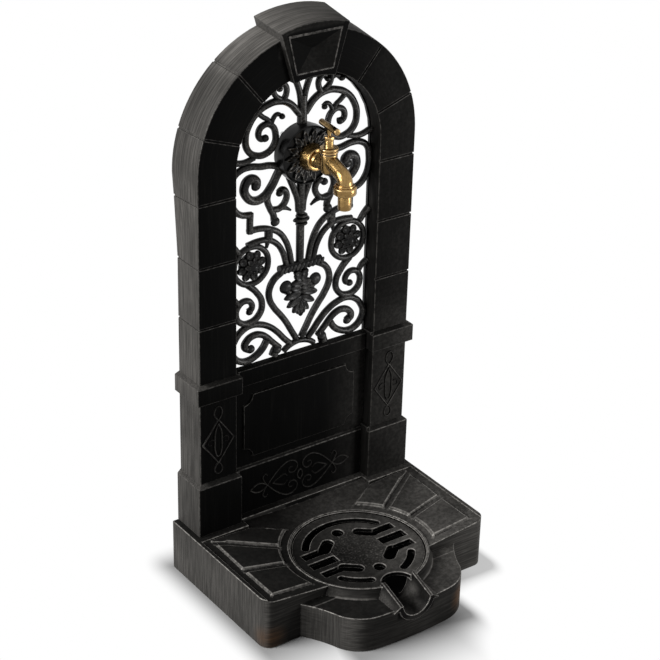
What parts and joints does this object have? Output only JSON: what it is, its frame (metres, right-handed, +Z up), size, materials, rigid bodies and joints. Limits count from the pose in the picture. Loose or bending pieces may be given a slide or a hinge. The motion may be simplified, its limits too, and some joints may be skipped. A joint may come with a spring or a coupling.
{
  "type": "garden fountain",
  "caption": "Free-standing garden tap column: arched wall with scroll grille, brass bib tap with turning T-handle, and a basin foot with lift-out grate and front spout.",
  "frame": {"origin": "middle of the foot's underside, on the floor", "axes": "+Z up, -Y to the front where the water leaves, +X to the right seen from behind the front"},
  "size_m": [0.3524, 0.301, 0.74],
  "materials": {
    "black_paint": "black paint with silver rubbed along the edges",
    "brass": "polished",
    "rubber": "moulded",
    "zinc_steel": "zinc plated"
  },
  "bodies": {
    "fountain": {"base_basin": "black_paint", "wall_frame": "black_paint", "apron_panel": "black_paint", "scroll_grille": "black_paint", "leaf_rosette": "black_paint", "tap_body": "brass", "wall_flange": "brass", "tap_bonnet": "brass", "gland_nut": "brass", "hose_union_nut": "brass", "hose_tail": "brass", "back_washer": "brass", "back_nut": "brass", "inlet_elbow": "brass", "bonnet_seal": "rubber", "gland_packing": "rubber", "hose_tail_seal": "rubber", "inlet_seal": "rubber", "wall_bolts": "zinc_steel", "wall_bolt_washers": "zinc_steel", "grille_screws": "zinc_steel", "apron_screws": "zinc_steel", "rosette_screws": "zinc_steel"},
    "valve": {"jumper_valve": "brass", "valve_washer": "rubber", "washer_nut": "brass"},
    "handle": {"spindle": "brass", "t_handle": "brass"},
    "grate": {"grate": "black_paint"}
  },
  "joints": [
    {"name": "valve_lift", "type": "slide", "parent": "fountain", "child": "valve", "axis": [0, 0, 1], "range_m": [0, 0.00562]},
    {"name": "handle_turn", "type": "hinge", "parent": "valve", "child": "handle", "pos_m": [0, 0.0625, 0.6204], "axis": [0, 0, 1], "range_deg": [0, 810]},
    {"name": "grate_lift", "type": "slide", "parent": "fountain", "child": "grate", "axis": [0, 0, 1], "range_m": [0, 0.15]}
  ],
  "couplings": [
    {"joint": "valve_lift", "follows": "handle_turn", "m_per_rad": 0.00039789}
  ]
}
